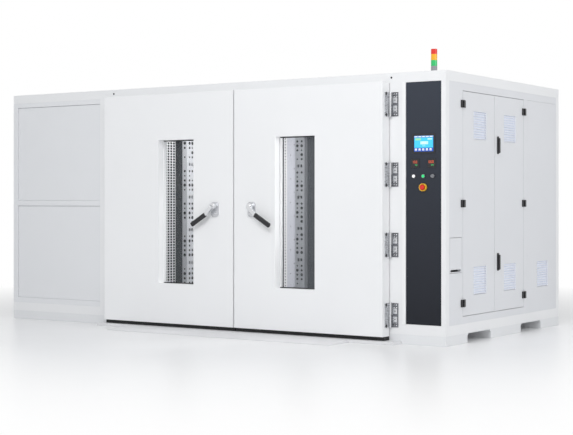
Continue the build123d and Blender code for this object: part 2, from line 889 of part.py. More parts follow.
def switch_bezels():
    """The three switch bodies, and the body under the stop button."""
    pieces = [switch_body(x, switch_height) for x in switch_places()]
    neck = (switch_neck, switch_neck)
    barrel = centred_xz(fascia_centre, stop_height, neck, (fascia_front, fascia_front + barrel_length))
    back = fascia_front + barrel_length
    barrel += centred_xz(fascia_centre, stop_height, contact_block, (back, back + contact_block[2]))
    barrel -= stem_way(fascia_centre, stop_height, fascia_front - 1, back + stop_travel)
    return pieces + [barrel]


def cap_at(x, z):
    """A round push cap with its stem."""
    back = fascia_front - 1 - cap_travel - cutout_gap
    cap = rod((x, back, z), (0, -1, 0), cap_thickness, cap_radius)
    return cap + centred_xz(x, z, (stem_width, stem_width), (back, back + barrel_length))


def key_selector():
    """Turning lock rotor with its key in place."""
    x = switch_places()[2]
    back = fascia_front - 1 - cutout_gap
    rotor = rod((x, back, switch_height), (0, -1, 0), bezel_proud, cap_radius)
    front = back - bezel_proud
    middle = front - key_shank
    shank = centred_xz(x, switch_height, (key_thickness, key_bow[0] / 2), (middle, front + 1))
    bow = centred_xz(x, switch_height, (key_thickness, key_bow[0]), (middle - key_bow[1], middle))
    bow = chamfer(bow.edges().filter_by(Axis.X), key_bow[0] / 4)
    return [rotor + shank + bow]


def stop_button():
    """Mushroom head of the stop button on its stem."""
    at = fascia_front - shroud_height + stop_travel
    head = rod((fascia_centre, at, stop_height), (0, -1, 0), stop_head_thickness, stop_head_radius)
    head = chamfer(head.faces().sort_by(Axis.Y)[0].edges(), stop_head_thickness / 3)
    end = fascia_front + barrel_length - stop_travel
    return [head + centred_xz(fascia_centre, stop_height, (stem_width, stem_width), (at, end))]


def stop_shroud():
    """Raised collar round the stop button."""
    collar = rod((fascia_centre, fascia_front, stop_height), (0, -1, 0), shroud_height, shroud_radius)
    collar -= rod((fascia_centre, fascia_front - shroud_wall, stop_height), (0, -1, 0), shroud_height,
                  shroud_radius - shroud_wall)
    return [collar - stem_way(fascia_centre, stop_height, fascia_front - shroud_height, fascia_front + 1)]


def tower_ring(low, high, radius):
    """One stage of the signal tower."""
    x = right_face - tower_from_right
    y = front_face + tower_from_front
    return rod((x, y, low), (0, 0, 1), high - low, radius)


def signal_stages():
    """Base, green, yellow and red stages of the signal tower, from the roof up."""
    heights = [cabinet_height, tower_base_height, tower_lens_height, tower_lens_height, tower_cap_height]
    levels = [sum(heights[: turn + 1]) for turn in range(len(heights))]
    return [tower_ring(low, high, tower_radius) for low, high in zip(levels, levels[1:])]


def vent_cut(panel, y, z):
    """A louvred vent at a place on a side panel: the opening, and slanted slats across it."""
    across = (y - vent_width / 2, y + vent_width / 2)
    up = (z - vent_height / 2, z + vent_height / 2)
    inner_y = (across[0] + vent_frame, across[1] - vent_frame)
    inner_z = (up[0] + vent_frame, up[1] - vent_frame)
    panel -= block((side_back - 1, right_face + 1), inner_y, inner_z)
    pitch = (inner_z[1] - inner_z[0]) / vent_slats
    rise = pitch * 0.7
    reach = side_skin - 2 * vent_slat_thickness
    slats = None
    for turn in range(vent_slats):
        low = inner_z[0] + pitch * (turn + 0.15)
        x = side_back + vent_slat_thickness
        corners = [(x, low + rise), (x + reach, low), (x + reach, low + vent_slat_thickness),
                   (x, low + rise + vent_slat_thickness)]
        face = make_face(Polyline(*corners, close=True))
        slat = Pos(0, inner_y[1], 0) * extrude(Plane.XZ * face, inner_y[1] - inner_y[0])
        slats = slat if slats is None else slats + slat
    return panel + slats


def side_frame():
    """Painted frame of the machine side, round the service doors, the flap and the rear panel."""
    outline = area((front_face + column_frame_depth, rear_face - rail_depth), (rail_top, roof_bottom))
    front = front_face + service_front
    outline -= area((front, front + service_width), (service_bottom, service_top))
    rear = front_face + rear_panel_from_front
    outline -= area((rear, rear + rear_panel_width), (rail_top, rear_panel_top))
    flap = front_face + flap_from_front
    outline -= area((flap, flap + flap_width), (flap_bottom, flap_bottom + flap_height))
    frame = plate_yz((side_back, right_face), outline)
    x, z = flap_axis()
    reach = flap_pivot_length + running_gap
    bore = rod((x, flap - reach, z), (0, 1, 0), flap_width + 2 * reach, flap_pivot_radius + running_gap)
    return [frame - bore]


def rear_side_panel():
    """Fixed panel behind the service doors, with one vent."""
    rear = front_face + rear_panel_from_front
    panel = block((side_back, right_face), (rear + side_panel_gap, rear + rear_panel_width - side_panel_gap),
                  (rail_top, rear_panel_top - side_panel_gap))
    return [vent_cut(panel, rear + rear_vent_inset + vent_width / 2, rear_vent_height)]


def service_leaf(side):
    """One leaf of the service doors: side -1 is the front leaf and 1 the rear leaf."""
    outer = service_split + side * (service_width / 2 - service_gap)
    inner = service_split + side * service_gap / 2
    across = sorted((outer, inner))
    panel = block((side_back, right_face), across, (service_bottom + service_gap, service_top - service_gap))
    for height in (vent_low, vent_high):
        panel = vent_cut(panel, outer - side * service_width / 2 * vent_shares[side], height)
    return [panel]


def service_hinge(side, height, fixed):
    """Half of a block hinge of a service leaf: the fixed half is below and carries the pin."""
    y = service_split + side * service_width / 2
    half = service_hinge_size[1] / 2
    reach = side if fixed else -side
    reach_x = service_pin_radius * 2
    start = y + reach * reach_x * 1.5
    plate_y = sorted((start, y + reach * service_hinge_size[0]))
    deep = (right_face, right_face + service_hinge_thickness)
    plate = block(deep, plate_y, (height - half, height + half))
    up = (height - half, height) if fixed else (height + cutout_gap, height + half)
    near_y = sorted((y - reach * reach_x, start))
    plate += block((service_axis_x - reach_x, service_axis_x + reach_x), near_y, up)
    if fixed:
        return plate + rod((service_axis_x, y, height), (0, 0, 1), half * 0.8, service_pin_radius)
    return plate - rod((service_axis_x, y, height), (0, 0, 1), half * 0.9, service_pin_radius + running_gap)


def service_hinges():
    """Frame halves of the six service hinges, each with its pin."""
    return [service_hinge(side, height, True) for side in (-1, 1) for height in service_hinge_heights]


def latch_plate(height):
    """Base of one quarter-turn latch on the rear service leaf."""
    y = service_split + latch_from_split
    plate = block((right_face, right_face + latch_plate_thickness),
                  (y - latch_plate_size[0] / 2, y + latch_plate_size[0] / 2),
                  (height - latch_plate_size[1] / 2, height + latch_plate_size[1] / 2))
    plate = chamfer(plate.edges().filter_by(Axis.X), latch_plate_size[0] / 4)
    pivot = height + latch_pivot_rise
    return plate - rod((right_face - 1, y, pivot), (1, 0, 0), latch_plate_thickness + 2,
                       service_pin_radius + running_gap)


def rear_leaf_hardware():
    """Latch bases and door halves of the hinges on the rear service leaf."""
    hinges = [service_hinge(1, height, False) for height in service_hinge_heights]
    return hinges + [latch_plate(height) for height in service_latch_heights]


def front_leaf_hardware():
    return [service_hinge(-1, height, False) for height in service_hinge_heights]


def latch_lever(height):
    """Lever of a quarter-turn latch, hanging from its pivot."""
    y = service_split + latch_from_split
    near = right_face + latch_plate_thickness + latch_lever_gap
    top = height + latch_pivot_rise + latch_lever_size[0] / 2
    across = (y - latch_lever_size[0] / 2, y + latch_lever_size[0] / 2)
    lever = block((near, near + latch_lever_thickness), across, (top - latch_lever_size[1], top))
    lever = chamfer(lever.edges().filter_by(Axis.X), latch_lever_size[0] / 4)
    lever = chamfer(lever.faces().sort_by(Axis.X)[-1].edges(), latch_lever_thickness / 5)
    return [lever + rod((right_face, y, height + latch_pivot_rise), (1, 0, 0), near - right_face,
                        service_pin_radius)]


def flap_axis():
    """Place of the cable flap's hinge line in X and Z."""
    return right_face - flap_pin_radius, flap_bottom + flap_height - flap_gap - flap_pin_radius


def cable_flap():
    """Small flap over the cable entry, hung from its top edge, with a slot for the cables."""
    near = front_face + flap_from_front + flap_gap
    far = near + flap_width - 2 * flap_gap
    x, z = flap_axis()
    panel = block((side_back, right_face), (near, far), (flap_bottom + flap_gap, z + flap_pin_radius))
    reach = flap_pivot_length + flap_gap
    panel += rod((x, near - reach, z), (0, 1, 0), far - near + 2 * reach, flap_pivot_radius)
    middle = (near + far) / 2
    slot = block((side_back - 1, right_face + 1), (middle - flap_slot[0] / 2, middle + flap_slot[0] / 2),
                 (flap_bottom + flap_slot_rise, flap_bottom + flap_slot_rise + flap_slot[1]))
    return [panel - chamfer(slot.edges().filter_by(Axis.X), flap_slot[1] / 4)]


def compressors():
    """Two hermetic compressors of the cascade on their foot plates, and the liquid receiver."""
    pieces = []
    x = machine_left + deck_gap + compressor_radius
    for place in compressor_from_front:
        y = front_face + place
        low = skid_height + compressor_plate
        square = (-compressor_radius, compressor_radius)
        foot = Pos(x, y, 0) * block(square, square, (skid_height, low))
        shell = rod((x, y, low), (0, 0, 1), compressor_height, compressor_radius * 0.9)
        shell = chamfer(shell.faces().sort_by(Axis.Z)[-1].edges(), compressor_foot)
        pieces.append(foot + shell)
    y = front_face + compressor_from_front[1] + compressor_radius + receiver_radius * 1.6
    return pieces + [rod((x, y, skid_height), (0, 0, 1), receiver_height, receiver_radius)]


def condenser_unit():
    """Finned condenser on legs, with the fan ring and motor shelf in front of it."""
    left = machine_left + deck_gap
    y = rear_face - condenser_from_rear
    half = condenser_width / 2
    coil = Pos(left, y, condenser_bottom) * finned_block(condenser_depth, half, condenser_height, coil_fins,
                                                         coil_spine / 2)
    for side in (-1, 1):
        leg = sorted((y + side * half, y + side * (half - coil_spine)))
        coil += block((left, left + condenser_depth), leg, (skid_height, condenser_bottom))
    x, fan_y, z = fan_places()[2]
    shelf_z = (z - motor_radius - bulkhead_thickness, z - motor_radius)
    back = x - fan_hub_length / 2 - motor_gap - motor_length
    across = (fan_y - motor_radius / 2, fan_y + motor_radius / 2)
    shelf = block((left + condenser_depth, back + motor_length), across, shelf_z)
    return [coil + shelf]


def electrical_box():
    """Open steel tray behind the fascia that carries the switchgear."""
    outer_x = (machine_left + deck_gap, right_face - rail_depth - deck_gap)
    back = front_face + service_front - electrical_wall * 4
    outer_y = (back - electrical_depth + column_frame_depth, back)
    up = (skid_height, electrical_top)
    tray = block(outer_x, outer_y, up)
    inner_x = (outer_x[0] + electrical_wall, outer_x[1] - electrical_wall)
    inner_y = (outer_y[0] - 1, outer_y[1] - electrical_wall)
    return [tray - block(inner_x, inner_y, (electrical_bottom, electrical_top - electrical_wall))]


def mirrored(solids):
    """The same pieces for the left door."""
    return [across_split(solid) for solid in solids]


frame_leaves = [frame_leaf(z) for z in hinge_heights]
nodes = {
    "skid": skid(),
    "frame_rails": frame_rails(),
    "floor_slab": floor_slab(),
    "floor_plate": floor_plate(),
    "wall_panels": wall_panels(),
    "roof_panels": roof_panels(),
    "left_front_frame": left_front_frame(),
    "left_front_panels": left_front_panels(),
    "door_frame": door_frame(),
    "chamber_liner": chamber_liner(),
    "diffuser_wall": diffuser_wall(),
    "diffuser_plates": diffuser_plates(),
    "rack_uprights": rack_uprights(),
    "fan_bulkhead": fan_bulkhead(),
    "fan_motors": fan_motors(),
    "evaporator_coil": evaporator_coil(),
    "heater_bank": heater_bank(),
    "entry_ramp": entry_ramp(),
    "hinge_frame_leaves": frame_leaves + mirrored(frame_leaves),
    "control_column": control_column(),
    "control_fascia": control_fascia(),
    "panel_instruments": panel_instruments(),
    "switch_bezels": switch_bezels(),
    "stop_shroud": stop_shroud(),
    "side_frame": side_frame(),
    "rear_side_panel": rear_side_panel(),
    "service_hinges": service_hinges(),
    "compressors": compressors(),
    "condenser_unit": condenser_unit(),
    "electrical_box": electrical_box(),
    "right_door_slab": [door_slab_right()],
    "right_window_glass": window_glass_right(),
    "right_door_seals": door_seals_right(),
    "right_door_hardware": [door_leaf(z) for z in hinge_heights] + [rosette_right()],
    "right_lever": [lever_right()],
    "right_grip": [grip_right()],
    "service_door_front": service_leaf(-1),
    "service_door_rear": service_leaf(1),
    "front_leaf_hardware": front_leaf_hardware(),
    "rear_leaf_hardware": rear_leaf_hardware(),
    "lower_latch_lever": latch_lever(service_latch_heights[0]),
    "upper_latch_lever": latch_lever(service_latch_heights[1]),
    "cable_flap": cable_flap(),
    "white_button": [cap_at(switch_places()[0], switch_height)],
    "green_button": [cap_at(switch_places()[1], switch_height)],
    "key_selector": key_selector(),
    "stop_button": stop_button(),
    "circulation_fan_front": fan_on_shaft(fan_places()[0]),
    "circulation_fan_rear": fan_on_shaft(fan_places()[1]),
    "condenser_fan": fan_on_shaft(fan_places()[2]),
}
for part in ("door_slab", "window_glass", "door_seals", "door_hardware", "lever", "grip"):
    nodes["left_" + part] = mirrored(nodes["right_" + part])
for stage, solid in zip(("signal_base", "signal_green", "signal_yellow", "signal_red"), signal_stages()):
    nodes[stage] = [solid]

for name, solids in nodes.items():
    export_step(Compound(label=name, children=solids), f"parts/{name}.step")
print(len(nodes), "nodes written")
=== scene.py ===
"""Environmental test chamber: finishes, small trim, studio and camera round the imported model."""

import math

import bmesh
import bpy
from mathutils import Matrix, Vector


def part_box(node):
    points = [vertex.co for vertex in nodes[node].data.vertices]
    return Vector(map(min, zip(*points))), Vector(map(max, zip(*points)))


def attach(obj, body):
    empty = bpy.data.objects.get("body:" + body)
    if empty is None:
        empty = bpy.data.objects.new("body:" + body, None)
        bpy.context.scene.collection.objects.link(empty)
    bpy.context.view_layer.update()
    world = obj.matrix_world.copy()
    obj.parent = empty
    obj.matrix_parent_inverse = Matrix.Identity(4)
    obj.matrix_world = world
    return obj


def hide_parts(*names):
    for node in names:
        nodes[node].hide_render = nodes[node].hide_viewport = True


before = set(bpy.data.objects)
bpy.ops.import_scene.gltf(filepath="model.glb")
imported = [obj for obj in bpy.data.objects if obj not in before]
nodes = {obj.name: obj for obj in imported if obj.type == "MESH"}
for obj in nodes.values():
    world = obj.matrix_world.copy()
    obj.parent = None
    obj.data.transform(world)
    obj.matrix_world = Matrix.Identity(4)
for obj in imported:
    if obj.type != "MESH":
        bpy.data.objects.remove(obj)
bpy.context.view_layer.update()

# Sizes are in metres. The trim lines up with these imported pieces
fascia_low, fascia_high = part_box("control_fascia")
front_leaf_low, front_leaf_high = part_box("service_door_front")
rear_leaf_low, rear_leaf_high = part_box("service_door_rear")
uprights_low, uprights_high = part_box("rack_uprights")
front_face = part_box("frame_rails")[0].y
door_split = (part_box("left_door_slab")[1].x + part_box("right_door_slab")[0].x) / 2

# Door hinges: their heights, and the reach of the pins, pads and knuckles
hinge_count = 4
hinge_first = 0.231
hinge_pitch = 0.571
hinge_heights = [hinge_first + hinge_pitch * step for step in range(hinge_count)]
pin_reach = 1.5125
pad_front = -1.1556
knuckle_edge = 1.8855
knuckle_back = -1.176

# Window seals of the doors, and the span of their upright sides
window_seal_width = 0.008
window_seal_reach = 0.0095
window_side_span = (0.40, 1.72)

# Rack uprights, and the duct covers beside the rear ones
upright_places = (-0.387, 0.514, 1.4145)
upright_depth = 0.060
side_upright_limit = -0.9
cover_front = 0.998
cover_back = 1.0275
cover_right = 1.7
cover_top = 2.05

# Bright strip left of the fascia, and the display and controllers on it
strip_margin = 0.0005
display_centre = (2.1925, 1.619)
display_face = front_face - 0.0002
controller_places = (2.116, 2.265)
controller_height = 1.461
controller_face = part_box("panel_instruments")[0].y - 0.0003

# Louvred vents of the machine side, as places along Y and Z
vent_places = {
    "service_door_front": ((-0.531, 0.500), (-0.531, 1.783)),
    "service_door_rear": ((0.0665, 0.500), (0.0665, 1.783)),
    "rear_side_panel": ((0.770, 0.497),),
}
vent_size = (0.262, 0.250)
vent_margin = 0.002


def mirror_x(x):
    """The matching place on the other side of the door split."""
    return 2 * door_split - x


class Graph:
    """Short calls that add nodes to one tree and join them."""

    def __init__(self, tree, family="ShaderNode"):
        self.tree = tree
        self.family = family

    def put(self, socket, value):
        if isinstance(value, bpy.types.NodeSocket):
            self.tree.links.new(value, socket)
        else:
            socket.default_value = value

    def add(self, kind, inputs=None, family=None, **settings):
        node = self.tree.nodes.new((family or self.family) + kind)
        for name, value in settings.items():
            setattr(node, name, value)
        for key, value in (inputs or {}).items():
            self.put(node.inputs[key], value)
        return node

    def math(self, operation, *values):
        inputs = dict(enumerate(values))
        return self.add("Math", inputs, "ShaderNode", operation=operation).outputs[0]

    def mix(self, factor, first, second):
        """A colour between two; the colour sockets of a Mix node are 6 and 7, and 2 on its way out."""
        return self.add("Mix", {0: factor, 6: first, 7: second}, data_type="RGBA").outputs[2]

    def place(self):
        return self.add("TexCoord").outputs["Object"]

    def noise(self, vector, scale, detail=2.0):
        return self.add("TexNoise", {"Vector": vector, "Scale": scale, "Detail": detail}).outputs[0]

    def centred(self, vector, scale, detail=2.0):
        """Noise that lies on both sides of zero."""
        return self.math("SUBTRACT", self.noise(vector, scale, detail), 0.5)

    def shaded(self, color, factor):
        """A colour made lighter or darker by a factor."""
        return self.add("VectorMath", {0: color, "Scale": factor}, operation="SCALE").outputs[0]

    def relief(self, height, strength, distance, edge):
        """The normal of a finely uneven surface whose edges are softened."""
        softened = self.add("Bevel", {"Radius": edge}, samples=4).outputs[0]
        bump = self.add("Bump", {"Strength": strength, "Distance": distance, "Height": height,
                                 "Normal": softened})
        return bump.outputs[0]


def new_group(name, inputs, outputs, family="ShaderNode"):
    """An empty node group: its graph, and the sockets where its inputs arrive and its outputs leave."""
    tree = bpy.data.node_groups.new(name, family + "Tree")
    for label, kind, value in inputs:
        socket = tree.interface.new_socket(label, in_out="INPUT", socket_type="NodeSocket" + kind)
        if value is not None:
            socket.default_value = value
    for label, kind in outputs:
        tree.interface.new_socket(label, in_out="OUTPUT", socket_type="NodeSocket" + kind)
    source = tree.nodes.new("NodeGroupInput").outputs
    sink = tree.nodes.new("NodeGroupOutput").inputs
    return Graph(tree, family), source, sink


surface_outputs = [("Color", "Color"), ("Roughness", "Float"), ("Normal", "Vector")]


def coat_group():
    """Powder coat: slow tone change, fine orange peel and softened edges."""
    graph, source, sink = new_group(
        "powder coat",
        [("Color", "Color", (1, 1, 1, 1)), ("Tone", "Float", 0.04), ("Peel", "Float", 0.12),
         ("Roughness", "Float", 0.4), ("Edge", "Float", 0.002)], surface_outputs)
    tone_scale = 1.3
    cloud_scale = 9.0
    cloud_depth = 0.12
    peel_scale = 420.0
    peel_distance = 0.0003
    place = graph.place()
    shift = graph.math("MULTIPLY", graph.centred(place, tone_scale), source["Tone"])
    graph.put(sink["Color"], graph.shaded(source["Color"], graph.math("ADD", shift, 1.0)))
    cloudy = graph.math("MULTIPLY", graph.centred(place, cloud_scale), cloud_depth)
    graph.put(sink["Roughness"], graph.math("ADD", source["Roughness"], cloudy))
    peel = graph.noise(place, peel_scale)
    graph.put(sink["Normal"], graph.relief(peel, source["Peel"], peel_distance, source["Edge"]))
    return graph.tree


def brush_group():
    """Brushed metal: long fine lines in tone, gloss and surface."""
    graph, source, sink = new_group(
        "brushed metal",
        [("Color", "Color", (1, 1, 1, 1)), ("Lines", "Vector", (6, 6, 420)), ("Depth", "Float", 0.2),
         ("Roughness", "Float", 0.35), ("Edge", "Float", 0.0015)], surface_outputs)
    line_detail = 4.0
    tone_depth = 0.18
    gloss_depth = 0.3
    line_distance = 0.0002
    stretched = graph.add("VectorMath", {0: graph.place(), 1: source["Lines"]}, operation="MULTIPLY")
    lines = graph.noise(stretched.outputs[0], 1.0, line_detail)
    centred = graph.math("SUBTRACT", lines, 0.5)
    shift = graph.math("MULTIPLY", centred, tone_depth)
    graph.put(sink["Color"], graph.shaded(source["Color"], graph.math("ADD", shift, 1.0)))
    uneven = graph.math("MULTIPLY", centred, gloss_depth)
    graph.put(sink["Roughness"], graph.math("ADD", source["Roughness"], uneven))
    graph.put(sink["Normal"], graph.relief(lines, source["Depth"], line_distance, source["Edge"]))
    return graph.tree


def mould_group():
    """Moulded plastic and rubber: fine spark-eroded grain and a little dust."""
    graph, source, sink = new_group(
        "moulded grain",
        [("Color", "Color", (1, 1, 1, 1)), ("Grain", "Float", 0.2), ("Roughness", "Float", 0.4),
         ("Edge", "Float", 0.0006)], surface_outputs)
    grain_scale = 1400.0
    grain_distance = 0.0001
    dust_scale = 22.0
    dust_detail = 4.0
    dust_depth = 0.12
    place = graph.place()
    dust = graph.math("MULTIPLY", graph.centred(place, dust_scale, dust_detail), dust_depth)
    graph.put(sink["Color"], graph.shaded(source["Color"], graph.math("ADD", dust, 1.0)))
    graph.put(sink["Roughness"], graph.math("ADD", source["Roughness"], dust))
    grain = graph.noise(place, grain_scale)
    graph.put(sink["Normal"], graph.relief(grain, source["Grain"], grain_distance, source["Edge"]))
    return graph.tree


powder_coat = coat_group()
brushed_metal = brush_group()
moulded_grain = mould_group()


def new_material(name):
    """A material with one Principled shader, its graph and the shader's sockets."""
    material = bpy.data.materials.new(name)
    material.use_nodes = True
    material.node_tree.nodes.clear()
    graph = Graph(material.node_tree)
    shader = graph.add("BsdfPrincipled")
    graph.add("OutputMaterial", {"Surface": shader.outputs[0]})
    return material, graph, shader.inputs


def dress(graph, shader, group, inputs):
    """Places a surface group with its own values and joins what it puts out to the shader."""
    made = graph.add("Group", inputs, node_tree=group)
    graph.put(shader["Base Color"], made.outputs["Color"])
    graph.put(shader["Roughness"], made.outputs["Roughness"])
    graph.put(shader["Normal"], made.outputs["Normal"])


def coated(name, color, roughness, peel=0.12):
    """Powder-coated sheet."""
    material, graph, shader = new_material(name)
    dress(graph, shader, powder_coat, {"Color": (*color, 1), "Roughness": roughness, "Peel": peel,
                                       "Tone": 0.05, "Edge": 0.002})
    shader["Specular IOR Level"].default_value = 0.4
    return material


def brushed(name, color, roughness, lines, metal, depth=0.2):
    """Bare or plated metal; lines says how many brush marks, about, lie in a metre along each axis."""
    material, graph, shader = new_material(name)
    dress(graph, shader, brushed_metal, {"Color": (*color, 1), "Roughness": roughness, "Lines": lines,
                                         "Depth": depth})
    shader["Metallic"].default_value = metal
    return material


def moulded(name, color, roughness, grain=0.2, glow=None, strength=0.0):
    """Plastic, rubber or foam; a glow colour gives it a painted glow."""
    material, graph, shader = new_material(name)
    dress(graph, shader, moulded_grain, {"Color": (*color, 1), "Roughness": roughness, "Grain": grain})
    if glow:
        shader["Emission Color"].default_value = (*glow, 1)
        shader["Emission Strength"].default_value = strength
    return material


def fascia_coat():
    """Dark glossy fascia, painted a little lighter towards its top as a painted reflection."""
    material, graph, shader = new_material("fascia gloss")
    place = graph.add("SeparateXYZ", {"Vector": graph.place()})
    height = graph.add("MapRange", {"Value": place.outputs[2], "From Min": fascia_low.z,
                                    "From Max": fascia_high.z, "To Min": 0.0, "To Max": 1.0})
    # Painted reflection: the colour runs from darker at the bottom of the fascia to lighter at its top.
    tone = graph.mix(height.outputs[0], (0.0125, 0.0145, 0.021, 1), (0.040, 0.047, 0.064, 1))
    dress(graph, shader, powder_coat, {"Color": tone, "Roughness": 0.22, "Peel": 0.0, "Tone": 0.06,
                                       "Edge": 0.001})
    shader["Specular IOR Level"].default_value = 0.22
    return material


def glazing():
    """Clear pane: mostly see-through, with a faint grey tint and a reflection."""
    material, graph, shader = new_material("window pane")
    stretched = graph.add("Mapping", {"Vector": graph.place(), "Scale": (3, 3, 40)})
    streak = graph.math("MULTIPLY", graph.noise(stretched.outputs[0], 1.0), 0.02)
    graph.put(shader["Roughness"], graph.math("ADD", streak, 0.02))
    shader["Base Color"].default_value = (0.55, 0.6, 0.63, 1)
    shader["Alpha"].default_value = 0.03
    return material


def lit_picture():
    """Material of lit display faces: the mesh's own tint glows."""
    material, graph, shader = new_material("lit display")
    pixel_scale = 260.0
    pixel_depth = 0.12
    mean_level = 0.94
    dark_share = 0.85
    tint = graph.add("Attribute", attribute_name="tint").outputs["Color"]
    glow = graph.math("MULTIPLY", graph.noise(graph.place(), pixel_scale), pixel_depth)
    graph.put(shader["Emission Color"], graph.shaded(tint, graph.math("ADD", glow, mean_level)))
    graph.put(shader["Base Color"], graph.mix(dark_share, tint, (0.01, 0.01, 0.012, 1)))
    shader["Emission Strength"].default_value = 0.95
    shader["Roughness"].default_value = 0.2
    return material


# Paints
door_white = coated("door white", (0.895, 0.90, 0.91), roughness=0.36, peel=0.08)
frame_white = coated("frame white", (0.86, 0.865, 0.875), roughness=0.42)
front_white = coated("front panel white", (0.81, 0.82, 0.84), roughness=0.42)
strip_white = coated("strip white", (0.90, 0.905, 0.91), roughness=0.3)
side_grey = coated("side grey", (0.75, 0.76, 0.785), roughness=0.45)
vent_blue = coated("vent paint", (0.90, 0.915, 0.975), roughness=0.4)
skid_grey = coated("skid paint", (0.80, 0.81, 0.825), roughness=0.5)
cover_grey = coated("duct cover", (0.66, 0.67, 0.73), roughness=0.45, peel=0.05)
sheet_white = coated("hole strip", (0.92, 0.92, 0.93), roughness=0.4, peel=0.05)
ramp_white = coated("ramp paint", (0.76, 0.76, 0.775), roughness=0.5)
motor_paint = coated("motor paint", (0.045, 0.06, 0.08), roughness=0.4)
fascia_gloss = fascia_coat()

# Metals
# The lining of the test space, the diffuser wall and the fan bulkhead are made near black as painted shade
# for the dim inside of the chamber.
liner_steel_painted_shade = brushed("chamber steel with painted shade", (0.030, 0.032, 0.040), 0.55, lines=(5, 5, 300), metal=0.2)
floor_steel = brushed("floor steel", (0.45, 0.46, 0.48), 0.4, lines=(300, 6, 6), metal=0.9)
galvanised = brushed("galvanised sheet", (0.48, 0.5, 0.53), 0.45, lines=(40, 40, 60), metal=0.9)
chrome = brushed("bright chrome", (0.68, 0.69, 0.71), 0.10, lines=(30, 30, 200), metal=1.0, depth=0.05)
dark_chrome = brushed("dark chrome", (0.21, 0.215, 0.235), 0.25, lines=(30, 30, 200), metal=1.0, depth=0.08)
leaf_chrome = brushed("hinge leaf", (0.60, 0.61, 0.635), 0.3, lines=(30, 30, 200), metal=0.6, depth=0.08)
fins = brushed("fin aluminium", (0.72, 0.73, 0.75), 0.4, lines=(500, 5, 5), metal=0.9)
perforated = brushed("perforated sheet", (0.90, 0.905, 0.92), 0.45, lines=(5, 5, 300), metal=0.25)
# The rack uprights come in a shaded and a lit copy of one steel: the rear ones darker as painted shade, the
# side ones lighter as painted light.
upright_steel = brushed("upright steel", (0.42, 0.43, 0.46), 0.42, lines=(260, 260, 5), metal=0.4)
painted_light_upright_steel = brushed("side upright steel with painted light", (0.74, 0.75, 0.78), 0.42, lines=(260, 260, 5), metal=0.3)

# Plastics, rubber, foam and glass
foam = moulded("insulation", (0.62, 0.58, 0.46), roughness=0.9, grain=0.8)
rubber = moulded("black rubber", (0.012, 0.012, 0.013), roughness=0.7, grain=0.5)
grip_black = moulded("grip black", (0.010, 0.010, 0.013), roughness=0.42, grain=0.35)
black_plastic = moulded("black plastic", (0.014, 0.014, 0.016), roughness=0.35)
grey_plastic = moulded("grey plastic", (0.28, 0.29, 0.31), roughness=0.35)
# The white and green caps are given a faint glow as painted glow: no lamp lights them.
white_cap_painted_glow = moulded("white cap with painted glow", (0.9, 0.9, 0.9), 0.3, 0.1, glow=(1, 1, 1), strength=0.25)
green_cap_painted_glow = moulded("green cap with painted glow", (0.02, 0.42, 0.13), 0.25, 0.1, glow=(0.05, 0.85, 0.3), strength=0.45)
yellow_plastic = moulded("yellow shroud", (0.93, 0.55, 0.035), roughness=0.35, grain=0.15)
red_plastic = moulded("red head", (0.72, 0.025, 0.015), roughness=0.3, grain=0.1)
lens_green = moulded("green lens", (0.03, 0.55, 0.16), roughness=0.18, grain=0.05)
lens_yellow = moulded("amber lens", (0.95, 0.45, 0.02), roughness=0.18, grain=0.05)
lens_red = moulded("red lens", (0.75, 0.03, 0.02), roughness=0.18, grain=0.05)
# Near-black discs are painted where holes are, as painted shade: the holes themselves are not cut.
painted_hole_shade = moulded("painted hole shade", (0.004, 0.0045, 0.006), roughness=0.8, grain=0.1)
filter_mat = moulded("filter mat", (0.80, 0.84, 0.93), roughness=0.9, grain=0.8)
gasket_pale = moulded("pale gasket", (0.42, 0.43, 0.45), roughness=0.8, grain=0.3)
pane = glazing()
lit = lit_picture()

node_finish = {
    "skid": skid_grey, "frame_rails": frame_white, "floor_slab": foam, "floor_plate": floor_steel,
    "wall_panels": frame_white, "roof_panels": frame_white, "left_front_frame": front_white,
    "left_front_panels": front_white, "door_frame": frame_white, "chamber_liner": liner_steel_painted_shade,
    "diffuser_wall": liner_steel_painted_shade, "diffuser_plates": perforated, "rack_uprights": upright_steel,
    "fan_bulkhead": liner_steel_painted_shade, "fan_motors": motor_paint, "evaporator_coil": fins,
    "heater_bank": galvanised, "entry_ramp": ramp_white, "hinge_frame_leaves": dark_chrome,
    "control_column": frame_white, "control_fascia": fascia_gloss, "panel_instruments": black_plastic,
    "switch_bezels": dark_chrome, "stop_shroud": yellow_plastic, "side_frame": side_grey,
    "rear_side_panel": side_grey, "service_hinges": black_plastic, "compressors": motor_paint,
    "condenser_unit": fins, "electrical_box": galvanised,
    "right_door_slab": door_white, "left_door_slab": door_white, "right_window_glass": pane,
    "left_window_glass": pane, "right_door_seals": rubber, "left_door_seals": rubber,
    "right_door_hardware": leaf_chrome, "left_door_hardware": leaf_chrome, "right_lever": chrome,
    "left_lever": chrome, "right_grip": grip_black, "left_grip": grip_black,
    "service_door_front": side_grey, "service_door_rear": side_grey, "front_leaf_hardware": black_plastic,
    "rear_leaf_hardware": black_plastic, "lower_latch_lever": black_plastic,
    "upper_latch_lever": black_plastic, "cable_flap": side_grey, "white_button": white_cap_painted_glow,
    "green_button": green_cap_painted_glow, "key_selector": grey_plastic, "stop_button": red_plastic,
    "circulation_fan_front": galvanised, "circulation_fan_rear": galvanised, "condenser_fan": black_plastic,
    "signal_base": grey_plastic, "signal_green": lens_green, "signal_yellow": lens_yellow,
    "signal_red": lens_red,
}

for name, obj in nodes.items():
    obj.data.materials.clear()
    obj.data.materials.append(node_finish[name])
    for polygon in obj.data.polygons:
        polygon.material_index = 0


